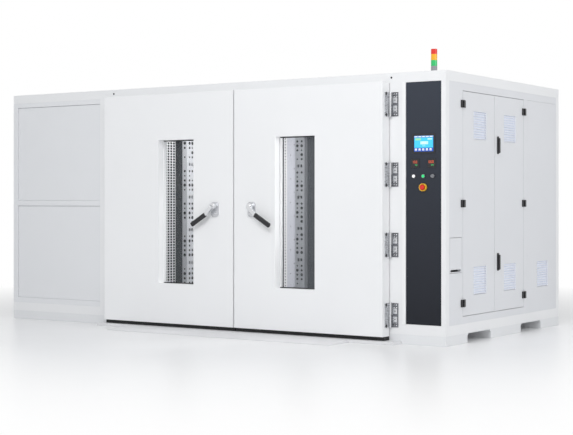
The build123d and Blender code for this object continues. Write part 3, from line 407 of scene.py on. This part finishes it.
def finish_faces(name, material, test):
    """Gives one material to the faces of a node whose corners all pass the test."""
    mesh = nodes[name].data
    mesh.materials.append(material)
    place = len(mesh.materials) - 1
    for polygon in mesh.polygons:
        corners = [mesh.vertices[index].co for index in polygon.vertices]
        if all(test(corner) for corner in corners):
            polygon.material_index = place


def in_vent(corner, place):
    """Whether a corner lies within the louvred vent at one place of the machine side."""
    half = (vent_size[0] / 2 + vent_margin, vent_size[1] / 2 + vent_margin)
    return abs(corner.y - place[0]) < half[0] and abs(corner.z - place[1]) < half[1]


def in_cover(corner):
    """Whether a corner of the lining belongs to a duct cover."""
    return corner.y < cover_back and corner.x < cover_right and corner.z < cover_top


def on_window_side(corner, edge):
    """Whether a corner of the door's seals lies on the upright side of the window seal at an edge."""
    low, high = window_side_span
    return abs(corner.x - edge) < window_seal_reach and low < corner.z < high


for name, places in vent_places.items():
    for place in places:
        finish_faces(name, vent_blue, lambda corner: in_vent(corner, place))
# The uprights on the side wall take the lighter copy, as painted light.
finish_faces("rack_uprights", painted_light_upright_steel, lambda corner: corner.x < side_upright_limit)
finish_faces("chamber_liner", cover_grey, in_cover)
finish_faces("hinge_frame_leaves", chrome,
             lambda corner: abs(corner.x - door_split) < pin_reach or corner.y < pad_front)
finish_faces("right_door_hardware", chrome,
             lambda corner: corner.x > knuckle_edge and corner.y > knuckle_back)
finish_faces("left_door_hardware", chrome,
             lambda corner: corner.x < mirror_x(knuckle_edge) and corner.y > knuckle_back)
for side in ("right", "left"):
    seal_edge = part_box(side + "_window_glass")[0].x - window_seal_width
    finish_faces(side + "_door_seals", door_white, lambda corner: on_window_side(corner, seal_edge))
finish_faces("control_column", strip_white,
             lambda corner: corner.x < fascia_low.x and corner.y < front_face - strip_margin)


def placed(name, mesh, body):
    """An object at the origin that rides a body."""
    piece = bpy.data.objects.new(name, mesh)
    bpy.context.scene.collection.objects.link(piece)
    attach(piece, body)
    return piece


def add_box(corners, faces, across, deep, up):
    """Adds the corners and the outward faces of one box, given by its spans."""
    start = len(corners)
    rim = ((across[0], up[0]), (across[1], up[0]), (across[1], up[1]), (across[0], up[1]))
    corners += [(x, y, z) for y in deep for x, z in rim]
    loops = ((0, 1, 2, 3), (7, 6, 5, 4), (1, 5, 6, 2), (0, 3, 7, 4), (3, 2, 6, 7), (0, 4, 5, 1))
    faces += [tuple(start + index for index in loop) for loop in loops]
    return len(loops)


def boxes(name, body, material, spans):
    """Plain strips given by their x, y and z spans, as one mesh on one body."""
    corners = []
    faces = []
    for across, deep, up in spans:
        add_box(corners, faces, across, deep, up)
    mesh = bpy.data.meshes.new(name)
    mesh.from_pydata(corners, [], faces)
    mesh.materials.append(material)
    placed(name, mesh, body)


# Lit pictures of the display and the controllers

tile_thickness = 0.0002
tile_fill = 0.9
bar_share = 0.2
digit_pitch = 1.5


def tiles(name, patches, front):
    """Thin glowing tiles facing the doors: a patch is its x span, z span, level and colour."""
    corners = []
    faces = []
    colors = []
    for across, up, level, color in patches:
        start = front - level * tile_thickness
        count = add_box(corners, faces, across, (start, start + tile_thickness * tile_fill), up)
        colors += [(*color, 1)] * count
    mesh = bpy.data.meshes.new(name)
    mesh.from_pydata(corners, [], faces)
    mesh.materials.append(lit)
    tint = mesh.color_attributes.new("tint", "FLOAT_COLOR", "CORNER")
    for polygon in mesh.polygons:
        for loop in polygon.loop_indices:
            tint.data[loop].color = colors[polygon.index]
    placed(name, mesh, "cabinet")


def segments(x, z, size, digit, color, level):
    """Bars of one seven-segment digit."""
    bar = size[0] * bar_share
    low, middle, high = z - size[1] / 2, z, z + size[1] / 2
    left, right = x - size[0] / 2, x + size[0] / 2
    bars = {
        "a": ((left, right), (high - bar, high)),
        "b": ((right - bar, right), (middle, high)),
        "c": ((right - bar, right), (low, middle)),
        "d": ((left, right), (low, low + bar)),
        "e": ((left, left + bar), (low, middle)),
        "f": ((left, left + bar), (middle, high)),
        "g": ((left, right), (middle - bar / 2, middle + bar / 2)),
    }
    shapes = ("abcdef", "bc", "abdeg", "abcdg", "bcfg", "acdfg", "acdefg", "abc", "abcdefg", "abcdfg")
    return [(*bars[letter], level, color) for letter in shapes[digit]]


def number(x, z, size, digits, color, level):
    """A row of digits centred on x."""
    step = size[0] * digit_pitch
    start = x - step * (len(digits) - 1) / 2
    found = []
    for count, digit in enumerate(digits):
        found += segments(start + step * count, z, size, digit, color, level)
    return found


def row_of(count, first, pitch, up, level, color):
    """Equal patches in a row, one pitch apart."""
    return [((first[0] + pitch * turn, first[1] + pitch * turn), up, level, color) for turn in range(count)]


def display_patches():
    """The screen: a title bar with tabs, a page with its fields and readings, and a row of keys."""
    x, z = display_centre
    wide, tall = 0.174, 0.126
    left, right, low, high = x - wide / 2, x + wide / 2, z - tall / 2, z + tall / 2
    blue = (0.012, 0.09, 0.52)
    title_blue = (0.22, 0.42, 0.80)
    cyan = (0.05, 0.62, 0.86)
    pale = (0.55, 0.93, 1.0)
    white = (0.95, 0.98, 1.0)
    green = (0.35, 0.78, 0.42)
    tab_pitch = 0.034
    key_pitch = 0.033
    per_row = 5
    screen = ((left, right), (low, high), 0, blue)
    title_bar = ((left, right), (high - 0.013, high), 1, title_blue)
    tabs = row_of(per_row, (left + 0.006, left + 0.030), tab_pitch, (high - 0.010, high - 0.004), 2, white)
    page = ((left + 0.003, right - 0.003), (low + 0.030, high - 0.015), 1, cyan)
    state_field = ((left + 0.012, left + 0.062), (high - 0.036, high - 0.020), 2, green)
    value_field = ((x - 0.030, x + 0.040), (z - 0.006, z + 0.018), 2, pale)
    value = number(x + 0.002, z + 0.007, (0.009, 0.017), (2, 5, 0), white, 3)
    target = number(x + 0.002, z - 0.016, (0.006, 0.011), (6, 0, 0), pale, 3)
    time_field = ((right - 0.052, right - 0.012), (high - 0.032, high - 0.022), 2, pale)
    keys = row_of(per_row, (left + 0.008, left + 0.026), key_pitch, (low + 0.007, low + 0.024), 2, white)
    marks = row_of(per_row, (left + 0.011, left + 0.023), key_pitch, (low + 0.010, low + 0.014), 3, blue)
    top = [screen, title_bar, *tabs]
    middle = [page, state_field, value_field, *value, *target, time_field]
    return [*top, *middle, *keys, *marks]


def controller_patches():
    """Each controller: a dark window, an orange reading and a green target below it."""
    black = (0.006, 0.006, 0.008)
    orange = (1.0, 0.16, 0.05)
    green = (0.10, 0.75, 0.20)
    found = []
    for x, digits in zip(controller_places, ((1, 5, 0), (0, 6, 0))):
        z = controller_height
        found.append(((x - 0.029, x + 0.029), (z - 0.024, z + 0.026), 0, black))
        found += number(x - 0.004, z + 0.011, (0.011, 0.020), digits, orange, 1)
        found += number(x + 0.008, z - 0.013, (0.006, 0.011), digits, green, 1)
    return found


tiles("display_picture", display_patches(), display_face)
tiles("controller_readings", controller_patches(), controller_face)

# Small trim that repeats: heads and plugs, with dark squares of painted reflection and dark discs of
# painted shade


def point_group():
    """Geometry Nodes that put one small tapered head on every point of a mesh and realize them."""
    graph, source, sink = new_group(
        "small trim on points",
        [("Geometry", "Geometry", None), ("Radius", "Float", 0.004), ("Height", "Float", 0.002),
         ("Top share", "Float", 0.6), ("Sides", "Int", 12), ("Turn", "Vector", None),
         ("Material", "Material", None)],
        [("Geometry", "Geometry")], "GeometryNode")
    top = graph.math("MULTIPLY", source["Radius"], source["Top share"])
    cone = graph.add("MeshCone", {"Radius Top": top, "Radius Bottom": source["Radius"],
                                  "Depth": source["Height"], "Vertices": source["Sides"]})
    turned = graph.add("Transform", {"Geometry": cone.outputs["Mesh"], "Rotation": source["Turn"]})
    spread = graph.add("InstanceOnPoints", {"Points": source["Geometry"], "Instance": turned.outputs[0]})
    real = graph.add("RealizeInstances", {0: spread.outputs[0]})
    painted = graph.add("SetMaterial", {"Geometry": real.outputs[0], "Material": source["Material"]})
    graph.put(sink[0], painted.outputs[0])
    return graph.tree


def grown_mesh(name, places, tree, values):
    """The plain mesh that a Geometry Nodes tree makes on the given points."""
    mesh = bpy.data.meshes.new(name + "_points")
    mesh.from_pydata(places, [], [])
    carrier = bpy.data.objects.new(name + "_points", mesh)
    bpy.context.scene.collection.objects.link(carrier)
    modifier = carrier.modifiers.new("repeat", "NODES")
    modifier.node_group = tree
    keys = {item.name: item.identifier for item in tree.interface.items_tree if item.in_out == "INPUT"}
    for label, value in values.items():
        modifier[keys[label]] = value
    carrier.update_tag()
    graph = bpy.context.evaluated_depsgraph_get()
    made = bpy.data.meshes.new_from_object(carrier.evaluated_get(graph))
    bpy.data.objects.remove(carrier)
    return made


point_tree = point_group()
to_doors = (math.pi / 2, 0, 0)
to_right = (0, math.pi / 2, 0)
to_left = (0, -math.pi / 2, 0)


def trim(name, body, material, places, radius, height, turn, top=0.6, sides=12):
    """Small heads or plugs, or dark marks of painted shade and painted reflection, at the given places, one
    mesh on one body.
    """
    values = {"Radius": radius, "Height": height, "Top share": top, "Sides": sides, "Turn": turn,
              "Material": material}
    placed(name, grown_mesh(name, places, point_tree, values), body)


def both_sides(places):
    """The places and their matches on the other side of the door split."""
    return places + [(mirror_x(x), y, z) for x, y, z in places]


# Plugs in the top rail, the screws and sockets of the door hinges, and black squares of painted reflection
# at the corners of the door leaves of the hinges
plug_height = 2.162
leaf_screw_columns = (1.9235, 1.9460)
leaf_screw_rises = (-0.083, -0.062, 0.062, 0.083)
pad_column = 1.9345
pad_rises = (-0.033, 0.033)
painted_reflection_column = 1.8856
painted_reflection_rises = (-0.086, 0.086)
plug_places = [(x, front_face - 0.0012, plug_height) for x in (-1.080, 1.897)]
trim("rail_plugs", "cabinet", black_plastic, plug_places, radius=0.0085, height=0.0024,
     turn=to_doors, top=0.85, sides=24)
screw_places = [(x, front_face - 0.0062, z + rise) for z in hinge_heights
                for rise in leaf_screw_rises for x in leaf_screw_columns]
trim("frame_leaf_screws", "cabinet", chrome, both_sides(screw_places), radius=0.0062,
     height=0.0024, turn=to_doors, top=0.7)
socket_places = [(pad_column, front_face - 0.0084, z + rise) for z in hinge_heights for rise in pad_rises]
trim("pad_sockets", "cabinet", black_plastic, both_sides(socket_places), radius=0.0045,
     height=0.0008, turn=to_doors, top=1.0)
# Black squares at the top and bottom corners of each door leaf of the hinges: painted reflection, not cut
# notches.
painted_reflection_places = [(painted_reflection_column, front_face - 0.064, z + rise) for z in hinge_heights for rise in painted_reflection_rises]
trim("right_leaf_notches", "right_door", black_plastic, painted_reflection_places, radius=0.0160,
     height=0.0014, turn=to_right, top=0.95, sides=4)
trim("left_leaf_notches", "left_door", black_plastic,
     [(mirror_x(x), y, z) for x, y, z in painted_reflection_places], radius=0.0160, height=0.0014, turn=to_left,
     top=0.95, sides=4)

# Perforated sheets of the air diffuser, cut with real holes

sheet_start = 0.315
sheet_columns = 16
sheet_rows = 64
hole_share = 0.78
weld_distance = 0.00002


def cell_mesh(pitch, share, thickness):
    """One square of perforated sheet facing +X, with its hole and the walls of the hole."""
    outer = (pitch[0] / 2, pitch[1] / 2)
    inner = (outer[0] * share, outer[1] * share)
    signs = ((-1, -1), (1, -1), (1, 1), (-1, 1))
    corners = []
    for x in (thickness / 2, -thickness / 2):
        for half in (outer, inner):
            corners += [(x, half[0] * across, half[1] * up) for across, up in signs]
    sides = len(signs)
    front, front_hole, back, back_hole = (ring * sides for ring in range(4))
    faces = []
    for turn in range(sides):
        after = (turn + 1) % sides
        faces.append((front + turn, front + after, front_hole + after, front_hole + turn))
        faces.append((back + after, back + turn, back_hole + turn, back_hole + after))
        faces.append((front_hole + turn, front_hole + after, back_hole + after, back_hole + turn))
    mesh = bpy.data.meshes.new("sheet_cell")
    mesh.from_pydata(corners, [], faces)
    return mesh


def cell_group():
    """Geometry Nodes that put a cell on every point, realize and weld the cells."""
    graph, source, sink = new_group(
        "sheet cells on points",
        [("Geometry", "Geometry", None), ("Cell", "Object", None), ("Material", "Material", None)],
        [("Geometry", "Geometry")], "GeometryNode")
    shape = graph.add("ObjectInfo", {"Object": source["Cell"]})
    spread = graph.add("InstanceOnPoints", {"Points": source["Geometry"],
                                            "Instance": shape.outputs["Geometry"]})
    real = graph.add("RealizeInstances", {0: spread.outputs[0]})
    weld = graph.add("MergeByDistance", {0: real.outputs[0], "Distance": weld_distance})
    painted = graph.add("SetMaterial", {"Geometry": weld.outputs[0], "Material": source["Material"]})
    graph.put(sink[0], painted.outputs[0])
    return graph.tree


def close_rim(mesh):
    """Walls round the outer edges of the sheets, between their front and back faces."""
    shape = bmesh.new()
    shape.from_mesh(mesh)
    middle = sum(vertex.co.x for vertex in shape.verts) / len(shape.verts)
    rim = [edge.link_loops[0] for edge in shape.edges if edge.is_boundary]
    behind = [loop.vert for loop in rim if loop.vert.co.x < middle]
    for loop in rim:
        if loop.vert.co.x > middle:
            pair = (loop.link_loop_next.vert, loop.vert)
            backs = [min(behind, key=lambda vertex: (vertex.co.yz - front.co.yz).length) for front in pair]
            shape.faces.new((*pair, *reversed(backs)))
    shape.to_mesh(mesh)
    shape.free()


def perforated_sheets():
    """Both diffuser sheets, in the place of the plain ones."""
    low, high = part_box("diffuser_plates")
    pitch = ((high.y - sheet_start) / sheet_columns, (high.z - low.z) / sheet_rows)
    cell = bpy.data.objects.new("sheet_cell", cell_mesh(pitch, hole_share, high.x - low.x))
    bpy.context.scene.collection.objects.link(cell)
    middle = (low.x + high.x) / 2
    points = [(middle, side * (sheet_start + pitch[0] * (column + 0.5)), low.z + pitch[1] * (row + 0.5))
              for side in (-1, 1) for column in range(sheet_columns) for row in range(sheet_rows)]
    made = grown_mesh("sheet", points, cell_group(), {"Cell": cell, "Material": perforated})
    bpy.data.objects.remove(cell)
    close_rim(made)
    piece = placed("perforated_sheets", made, "cabinet")
    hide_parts("diffuser_plates")


perforated_sheets()

# Uneven hole columns of the rack uprights, drawn as dark discs of painted shade: big, middle and small
# holes in turn, some left out

hole_order = (2, 0, 2, 1, 0, 1, 1, 2, 0, -1, 1, 2, 1, 1, 2, 0, 2, 1, -1, 1, 2, 0, 1, 2)
hole_sizes = (0.0085, 0.0120, 0.0160)
hole_pitch = 0.0462
hole_start = 0.115
hole_rows = 40
slot_first = 0.2225
slot_pitch = 0.325
slot_heights = [slot_first + slot_pitch * row for row in range(6)]
slot_room = 0.034
disc_gap = 0.0003
disc_height = 0.0006
rear_columns = (-0.030, 0.024)
side_columns = (0.038, 0.082)
column_shifts = (0, 5)


def column_holes(shift):
    """Heights of the holes of one column for each of the three sizes."""
    kinds = [hole_order[(row + shift) % len(hole_order)] for row in range(hole_rows)]
    rows = [(hole_start + hole_pitch * row, kind) for row, kind in enumerate(kinds)]
    rows = [(z, kind) for z, kind in rows if all(abs(z - slot) > slot_room for slot in slot_heights)]
    return [[z for z, kind in rows if kind == wanted] for wanted in range(len(hole_sizes))]


def painted_shade_discs(name, places, radius, turn):
    """Dark discs of painted shade that stand for punched holes."""
    trim(name, "cabinet", painted_hole_shade, places, radius, disc_height, turn, top=1.0, sides=14)


column_heights = [column_holes(shift) for shift in column_shifts]
rear_disc_y = uprights_high.y - upright_depth - disc_gap
side_disc_x = uprights_low.x + upright_depth + disc_gap
flank_place = (uprights_low.x + upright_depth / 2, uprights_low.y - disc_gap)
for size, radius in enumerate(hole_sizes):
    rear_discs = [(x + shift, rear_disc_y, z) for shift, heights in zip(rear_columns, column_heights)
                  for x in upright_places for z in heights[size]]
    painted_shade_discs(f"rear_upright_holes_{size}", rear_discs, radius, to_doors)
    side_discs = [(side_disc_x, uprights_low.y + shift, z)
                  for shift, heights in zip(side_columns, column_heights) for z in heights[size]]
    painted_shade_discs(f"side_upright_holes_{size}", side_discs, radius, to_right)
    flank_discs = [(*flank_place, z) for z in column_heights[0][size]]
    painted_shade_discs(f"side_upright_flank_{size}", flank_discs, radius, to_doors)

# Pale strips of the duct covers

cover_edges = [x - 0.073 for x in upright_places]
strip_span = (-0.146, -0.105)
strip_deep = (cover_front - 0.0006, cover_front - 0.0001)
strip_end_gap = 0.001
strip_up = (uprights_low.z + strip_end_gap, uprights_high.z - strip_end_gap)
strips = [((edge + strip_span[0], edge + strip_span[1]), strip_deep, strip_up) for edge in cover_edges]
boxes("duct_hole_strips", "cabinet", sheet_white, strips)

# Pale gaskets in the seams round the service leaves, and filter mats behind the louvres

service_gap = 0.004
frame_clearance = 0.0001
leaf_clearance = 0.0004
split_clearance = 0.0006
side_face = front_leaf_high.x
gasket_deep = (side_face - 0.022, side_face - 0.0028)
gasket_up = (front_leaf_low.z, front_leaf_high.z)
front_seam = (front_leaf_low.y - service_gap + frame_clearance, front_leaf_low.y - leaf_clearance)
rear_seam = (rear_leaf_high.y + leaf_clearance, rear_leaf_high.y + service_gap - frame_clearance)
split_seam = (front_leaf_high.y + split_clearance, rear_leaf_low.y - frame_clearance)
boxes("frame_gaskets", "cabinet", gasket_pale,
      [(gasket_deep, front_seam, gasket_up), (gasket_deep, rear_seam, gasket_up)])
boxes("split_gasket", "rear_service_leaf", gasket_pale,
      [(gasket_deep, split_seam, gasket_up)])

mat_half = (0.120, 0.114)
mat_deep = (side_face - 0.0135, side_face - 0.0125)
for name, body in (("service_door_front", "front_service_leaf"), ("service_door_rear", "rear_service_leaf"),
                   ("rear_side_panel", "cabinet")):
    mats = [(mat_deep, (y - mat_half[0], y + mat_half[0]), (z - mat_half[1], z + mat_half[1]))
            for y, z in vent_places[name]]
    boxes("filter_mats_" + body, body, filter_mat, mats)

# Holes in the pale strips of the duct covers, drawn as dark discs of painted shade, and the screws of the
# duct covers

cover_hole_shift = -0.127
cover_hole_first = 0.085
cover_hole_pitch = 0.0308
cover_hole_rows = 62
cover_holes = [(edge + cover_hole_shift, cover_front - 0.0009, cover_hole_first + cover_hole_pitch * row)
               for edge in cover_edges for row in range(cover_hole_rows)]
trim("duct_cover_holes", "cabinet", painted_hole_shade, cover_holes, radius=0.0062,
     height=disc_height, turn=to_doors, top=1.0)
screw_columns = ((-0.061, 0.150), (-0.016, 0.258))
screw_pitch = 0.248
screw_rows = 8
cover_screws = [(edge + shift, cover_front - 0.0007, low + screw_pitch * row)
                for edge in cover_edges for shift, low in screw_columns for row in range(screw_rows)]
trim("duct_cover_screws", "cabinet", dark_chrome, cover_screws, radius=0.0055,
     height=0.0014, turn=to_doors)

# Studio: pale floor that fades to the white backdrop, soft lamps, two lamps in the test space


def floor_finish():
    """Pale glossy floor that turns white away from the object."""
    material, graph, shader = new_material("studio floor")
    place = graph.place()
    tone = graph.mix(graph.noise(place, 3.0), (0.90, 0.90, 0.905, 1), (0.93, 0.93, 0.935, 1))
    graph.put(shader["Base Color"], tone)
    shader["Roughness"].default_value = 0.32
    reach = graph.add("VectorMath", {0: place}, operation="LENGTH").outputs["Value"]
    fade = graph.add("MapRange", {"Value": reach, "From Min": 3.0, "From Max": 6.5}, clamp=True)
    white = graph.add("Emission", {"Color": (1, 1, 1, 1), "Strength": 1.0})
    path = graph.add("LightPath").outputs
    seen = graph.math("MAXIMUM", path["Is Camera Ray"], path["Is Glossy Ray"])
    share = graph.math("MULTIPLY", fade.outputs[0], seen)
    output = next(node for node in material.node_tree.nodes if node.type == "OUTPUT_MATERIAL")
    bare = next(node for node in material.node_tree.nodes if node.type == "BSDF_PRINCIPLED")
    mixed = graph.add("MixShader", {0: share, 1: bare.outputs[0], 2: white.outputs[0]})
    graph.put(output.inputs["Surface"], mixed.outputs[0])
    return material


floor_sides = 96
floor_radius = 16.0
floor_drop = 0.0005
turns = [math.tau * turn / floor_sides for turn in range(floor_sides)]
floor_edge = [(floor_radius * math.cos(turn), floor_radius * math.sin(turn), -floor_drop) for turn in turns]
floor_mesh = bpy.data.meshes.new("studio_floor")
floor_mesh.from_pydata(floor_edge, [], [tuple(range(floor_sides))])
floor_mesh.materials.append(floor_finish())
floor = bpy.data.objects.new("studio_floor", floor_mesh)
bpy.context.scene.collection.objects.link(floor)


def studio_world():
    """White backdrop where it is seen directly or in a reflection, and a softer light elsewhere."""
    world = bpy.data.worlds.new("studio")
    bpy.context.scene.world = world
    world.use_nodes = True
    world.node_tree.nodes.clear()
    graph = Graph(world.node_tree)
    path = graph.add("LightPath").outputs
    mirrored = graph.math("MAXIMUM", path["Is Glossy Ray"], path["Is Transmission Ray"])
    seen = graph.math("MAXIMUM", path["Is Camera Ray"], mirrored)
    soft = graph.add("Background", {"Color": (0.96, 0.98, 1.0, 1), "Strength": 0.55})
    plain = graph.add("Background", {"Color": (1, 1, 1, 1), "Strength": 1.0})
    both = graph.add("MixShader", {0: seen, 1: soft.outputs[0], 2: plain.outputs[0]})
    graph.add("OutputWorld", {"Surface": both.outputs[0]})


def lamp(name, place, target, size, energy):
    """A soft rectangular lamp that points at a target."""
    data = bpy.data.lights.new(name, "AREA")
    data.shape = "RECTANGLE"
    data.size, data.size_y = size
    data.energy = energy
    obj = bpy.data.objects.new(name, data)
    bpy.context.scene.collection.objects.link(obj)
    obj.location = place
    obj.rotation_euler = (Vector(target) - Vector(place)).to_track_quat("-Z", "Y").to_euler()


studio_world()
lamp("front_key", place=(3.2, -7.5, 6.0), target=(0.6, 0.0, 1.0), size=(5.0, 3.0), energy=280)
lamp("side_fill", place=(9.0, -1.0, 4.0), target=(1.0, 0.0, 1.0), size=(4.0, 3.0), energy=125)
lamp("chamber_lamp", place=(0.4, -0.55, 1.98), target=(0.3, 0.6, 0.6), size=(2.2, 0.25), energy=34)
lamp("chamber_side_lamp", place=(1.5, -0.4, 1.4), target=(-1.0, -0.4, 1.1), size=(0.3, 1.4), energy=16)

camera_data = bpy.data.cameras.new("photo_view")
camera_data.lens = 84.3
camera_data.sensor_width = 36
camera_data.shift_y = -0.0291
camera_data.clip_end = 100
camera = bpy.data.objects.new("photo_view", camera_data)
bpy.context.scene.collection.objects.link(camera)
camera.location = (7.273, -10.692, 1.160)
camera.rotation_euler = (math.radians(90), 0, math.radians(33.87))
bpy.context.scene.camera = camera
bpy.context.scene.view_settings.view_transform = "Standard"
